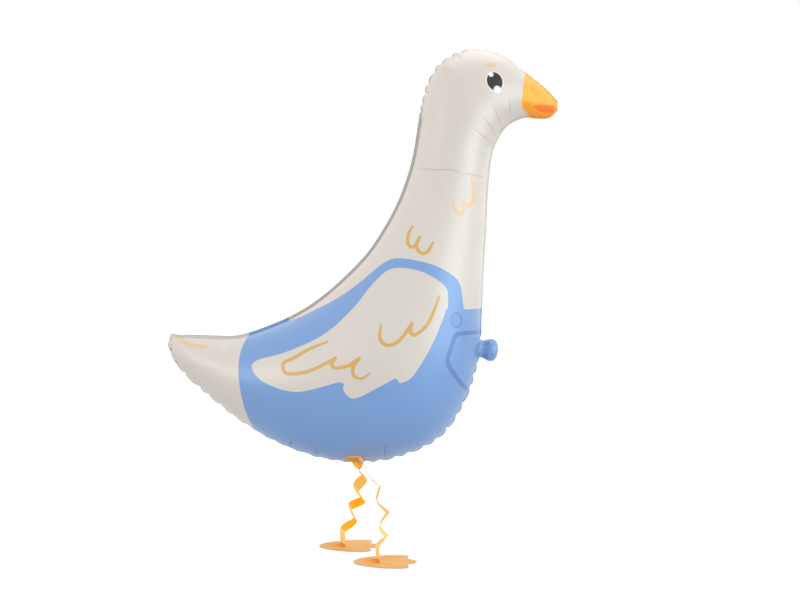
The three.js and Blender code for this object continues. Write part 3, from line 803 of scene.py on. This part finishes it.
def leg_strip(name, side, hang_at, hang_shade, ankle_x, pleats):
    """One leg's strip of paper, folded. Its side is -1 for the right leg and 1 for the left."""
    glued = GLUE_GAP + PAPER_THICKNESS / 2
    tab_y = side * TAB_FROM_MIDDLE
    hang = np.array([hang_at[0], tab_y, hang_at[1]])
    ankle = np.array([ankle_x, side * FEET_APART / 2, CARD_THICKNESS + glued])
    belly_slope = (under_belly(hang_at[0], tab_y - SLOPE_REACH)
                   - under_belly(hang_at[0], tab_y + SLOPE_REACH)) / (2 * SLOPE_REACH)
    centres = [hang - (BELLY_TAB, 0, 0), hang]
    across = [np.array([0, -1, belly_slope]) / math.hypot(1, belly_slope)] * 2
    pleat_shades = [BELLY_TAB_SHADE, hang_shade]
    for drop, aside, turn, dip, painted_shade in pleats:
        centres.append(hang + (ankle - hang) * drop + (aside, 0, 0))
        across.append(way_across(turn, dip))
        pleat_shades.append(painted_shade)
    on_foot = way_across(pleats[-1][2], 0)
    centres += [ankle, ankle - (FOOT_TAB, 0, 0)]
    across += [on_foot, on_foot]
    pleat_shades += [FOOT_TAB_SHADE, FOOT_TAB_SHADE]
    centres, across = np.array(centres), np.array(across)
    last = len(centres) - 1
    at = np.linspace(0, last, last * ROWS_PER_PLEAT + 1)
    knots = np.arange(last + 1)

    def softened(values):
        offsets = np.linspace(-FOLD_ROUNDING, FOLD_ROUNDING, FOLD_SAMPLES)
        return np.mean([np.stack([np.interp(np.clip(at + o, 0, last), knots, column)
                                  for column in values.T], 1) for o in offsets], axis=0)

    pleat_shade_at = np.array(pleat_shades)[np.minimum((at + PAST_FOLD).astype(int), last)]
    on_pleat = (at > 2) & (at < last - 1)
    path, width = softened(centres), softened(across)
    twist = np.radians(-PLEAT_TWIST) * on_pleat * np.sin(math.pi * (at % 1)) * pleat_shade_at
    width = np.stack([width[:, 0] * np.cos(twist) + width[:, 1] * np.sin(twist),
                      width[:, 1] * np.cos(twist) - width[:, 0] * np.sin(twist), width[:, 2]], 1)
    width /= np.linalg.norm(width, axis=1, keepdims=True)
    face = np.cross(np.gradient(path, axis=0), width)
    face /= np.linalg.norm(face, axis=1, keepdims=True)
    path += face * (PLEAT_BOW * on_pleat * np.sin(math.pi * (at % 1)))[:, None]

    paper = bmesh.new()
    bmesh.ops.create_grid(paper, x_segments=len(at) - 1, y_segments=PAPER_STEPS, size=1)
    pleat_shade_layer = paper.verts.layers.float.new("painted_pleat_shade")
    foot_layer = paper.verts.layers.float.new("foot_end")
    belly_shade_layer = paper.verts.layers.float.new("belly_tab_shade")
    for vert in paper.verts:
        i = round((vert.co.x + 1) / 2 * (len(at) - 1))
        spot = path[i] + width[i] * STRIP_WIDTH / 2 * vert.co.y
        if at[i] < 1:
            round_off = math.sqrt(max(0.0, 1 - (1 - at[i]) ** 2))
            half = STRIP_WIDTH / 2 * min(1, TAB_END + round_off)
            half += TAB_FLARE / 2 * math.sin(math.pi * at[i]) ** 0.5
            spot[1] = tab_y - half * vert.co.y
        if at[i] < PRESSED_UNTIL:
            clear = under_belly(spot[0], spot[1]) - glued
            spot[2] = clear if at[i] < 1 else min(spot[2], clear)
        vert[pleat_shade_layer] = pleat_shade_at[i]
        foot_darkening_at = [last - before for before in FOOT_TAB_DARKENING_FROM_END]
        vert[foot_layer] = float(np.interp(at[i], foot_darkening_at, FOOT_TAB_DARKENING))
        vert[belly_shade_layer] = float(np.interp(at[i], BELLY_TAB_PAINTED_SHADE_AT, BELLY_TAB_PAINTED_SHADE)) * (
            1 - BELLY_SHADE_RIM * vert.co.y ** 6)
        vert.co = Vector(spot) * MM
    bmesh.ops.recalc_face_normals(paper, faces=paper.faces)
    bmesh.ops.solidify(paper, geom=paper.faces[:], thickness=PAPER_THICKNESS * MM)
    mesh = bpy.data.meshes.new(name)
    paper.to_mesh(mesh)
    paper.free()
    mesh.shade_smooth()
    return mesh


def pleated_paper():
    material, shader, _ = surface("pleated_paper", 260, 0.5, 0.66, 0.0003)
    # Painted light and shade: each pleat is mixed from pale orange where it faces the light to deep orange
    # where it is turned from it.
    colour = blended(material, marked(material, "painted_pleat_shade"), print_colour(246, 204, 128),
                     print_colour(255, 174, 0))
    colour = blended(material, marked(material, "foot_end"), colour, print_colour(222, 118, 0))
    # Painted shade: the belly tab, in the shadow under the belly, is darkened to brown.
    colour = blended(material, marked(material, "belly_tab_shade"), colour, print_colour(190, 122, 66))
    shader.inputs["Specular IOR Level"].default_value = 0.15
    # Painted light: the paper glows a little in its own colour.
    shader.inputs["Emission Strength"].default_value = PAINTED_GLOW_THROUGH
    material.node_tree.links.new(colour, shader.inputs["Base Color"])
    material.node_tree.links.new(colour, shader.inputs["Emission Color"])
    return material


PAPER = pleated_paper()
right_leg = leg_strip("right_leg_ribbon", -1, (-2, 191.8), 0.1, 32, RIGHT_PLEATS)
left_leg = leg_strip("left_leg_ribbon", 1, (-14, 191.4), 0.8, -41, LEFT_PLEATS)
piece("right_leg_ribbon", right_leg, PAPER, "right_leg_strip")
piece("left_leg_ribbon", left_leg, PAPER, "left_leg_strip")

# The feet: two flat webbed feet die-cut from coated card, lying on the floor, with softly crushed edges.
# Each is its solid's own shape with the rim rounded.
EDGE_ROUNDING = 0.7


def coated_card():
    material, shader, place = surface("coated_card", 320, 0.48, 0.6, 0.0002)
    shader.inputs["Specular IOR Level"].default_value = 0.25
    nodes, link = material.node_tree.nodes, material.node_tree.links.new
    mottle = nodes.new("ShaderNodeTexNoise")
    mottle.inputs["Scale"].default_value = 28
    link(place, mottle.inputs["Vector"])
    colour = blended(material, ranged(material, mottle.outputs["Fac"], 0.3, 0.7),
                     print_colour(242, 190, 118), print_colour(239, 178, 92))
    link(blended(material, marked(material, "cut_edge"), colour, print_colour(206, 172, 138)),
         shader.inputs["Base Color"])
    return material


CARD = coated_card()
for side in ("right", "left"):
    foot = bmesh.new()
    foot.from_mesh(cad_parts[side + "_foot"].data)
    bmesh.ops.remove_doubles(foot, verts=foot.verts, dist=0.00001)
    bmesh.ops.dissolve_limit(foot, angle_limit=math.radians(1), verts=foot.verts, edges=foot.edges)
    rim = [edge for edge in foot.edges if edge.calc_face_angle(0) > math.radians(60)]
    bmesh.ops.bevel(foot, geom=rim, offset=EDGE_ROUNDING * MM, offset_type="OFFSET", segments=3,
                    profile=0.5, affect="EDGES", material=-1)
    bmesh.ops.triangulate(foot, faces=[face for face in foot.faces if len(face.verts) > 4])
    foot.normal_update()
    cut = foot.verts.layers.float.new("cut_edge")
    for vert in foot.verts:
        vert[cut] = float(abs(vert.normal.z) < 0.8)
    foot_mesh = bpy.data.meshes.new(side + "_card_foot")
    foot.to_mesh(foot_mesh)
    foot.free()
    piece(side + "_card_foot", foot_mesh, CARD, side + "_foot")

# The stage: a plain white floor, soft light from the front, the rear and above, and the camera level with
# the middle of the goose, at its right side.
CAMERA_AT = (0.0714, -1.8, 0.49)
LENS = 41.97
FLOOR_SIZE, FLOOR_WHITE, FLOOR_GLOW = 30, 0.7, 0.37  # the glow is for the camera alone
floor_mesh = bpy.data.meshes.new("floor")
sheet = bmesh.new()
bmesh.ops.create_grid(sheet, x_segments=1, y_segments=1, size=FLOOR_SIZE)
sheet.to_mesh(floor_mesh)
sheet.free()
floor = bpy.data.objects.new("floor", floor_mesh)
bpy.context.collection.objects.link(floor)
white = bpy.data.materials.new("white_floor")
white.use_nodes = True
white_shader = white.node_tree.nodes["Principled BSDF"]
white_shader.inputs["Base Color"].default_value = (FLOOR_WHITE, FLOOR_WHITE, FLOOR_WHITE, 1)
white_shader.inputs["Roughness"].default_value = 0.9
white_shader.inputs["Specular IOR Level"].default_value = 0
white_shader.inputs["Emission Color"].default_value = (1, 1, 1, 1)
seen = white.node_tree.nodes.new("ShaderNodeLightPath")
glow = white.node_tree.nodes.new("ShaderNodeMath")
glow.operation = "MULTIPLY"
glow.inputs[1].default_value = FLOOR_GLOW
white.node_tree.links.new(seen.outputs["Is Camera Ray"], glow.inputs[0])
white.node_tree.links.new(glow.outputs[0], white_shader.inputs["Emission Strength"])
floor_mesh.materials.append(white)


def soft_light(name, place, aim, size, power, colour=(1, 1, 1)):
    lamp = bpy.data.lights.new(name, "AREA")
    lamp.size = size
    lamp.energy = power
    lamp.color = colour
    made = bpy.data.objects.new(name, lamp)
    made.location = place
    made.rotation_euler = (Vector(aim) - Vector(place)).to_track_quat("-Z", "Y").to_euler()
    bpy.context.collection.objects.link(made)


soft_light("key", (1.6, -1.15, 0.5), (0.1, 0, 0.5), 1.4, 10, (0.8, 0.92, 1.0))
soft_light("fill", (-1.9, -1.7, 0.9), (0, 0, 0.5), 1.0, 4.5)
soft_light("top", (0.3, 0.2, 2.4), (0.1, 0, 0.5), 1.4, 6)

# The room is lit softly all round, with a large white screen in front of the goose and a smaller one behind,
# each from one X of a direction to another and so much brighter.
ROOM_LIGHT = 0.98
WHITE_WALLS = [(0.0, 0.8, 0.3), (-0.6, -0.95, 0.3)]
world = bpy.data.worlds.new("white_room")
world.use_nodes = True
room = world.node_tree
background = room.nodes["Background"]
background.inputs["Color"].default_value = (1, 1, 1, 1)
direction = room.nodes.new("ShaderNodeSeparateXYZ")
room.links.new(room.nodes.new("ShaderNodeTexCoord").outputs["Generated"], direction.inputs[0])
so_bright = ROOM_LIGHT
for near, far, extra in WHITE_WALLS:
    wall = room.nodes.new("ShaderNodeMapRange")
    wall.interpolation_type = "SMOOTHSTEP"
    wall.inputs["From Min"].default_value = near
    wall.inputs["From Max"].default_value = far
    wall.inputs["To Max"].default_value = extra
    room.links.new(direction.outputs["X"], wall.inputs["Value"])
    together = room.nodes.new("ShaderNodeMath")
    room.links.new(wall.outputs["Result"], together.inputs[0])
    if isinstance(so_bright, float):
        together.inputs[1].default_value = so_bright
    else:
        room.links.new(so_bright, together.inputs[1])
    so_bright = together.outputs[0]
looked_at = room.nodes.new("ShaderNodeLightPath")
brightness = room.nodes.new("ShaderNodeMix")
brightness.inputs["B"].default_value = 1.0
room.links.new(looked_at.outputs["Is Camera Ray"], brightness.inputs["Factor"])
room.links.new(so_bright, brightness.inputs["A"])
room.links.new(brightness.outputs["Result"], background.inputs["Strength"])
bpy.context.scene.world = world
bpy.context.scene.view_settings.view_transform = "Standard"

lens = bpy.data.cameras.new("camera")
lens.lens = LENS
lens.sensor_width = 36
camera = bpy.data.objects.new("camera", lens)
camera.location = CAMERA_AT
camera.rotation_euler = (math.radians(90), 0, 0)
bpy.context.collection.objects.link(camera)
bpy.context.scene.camera = camera
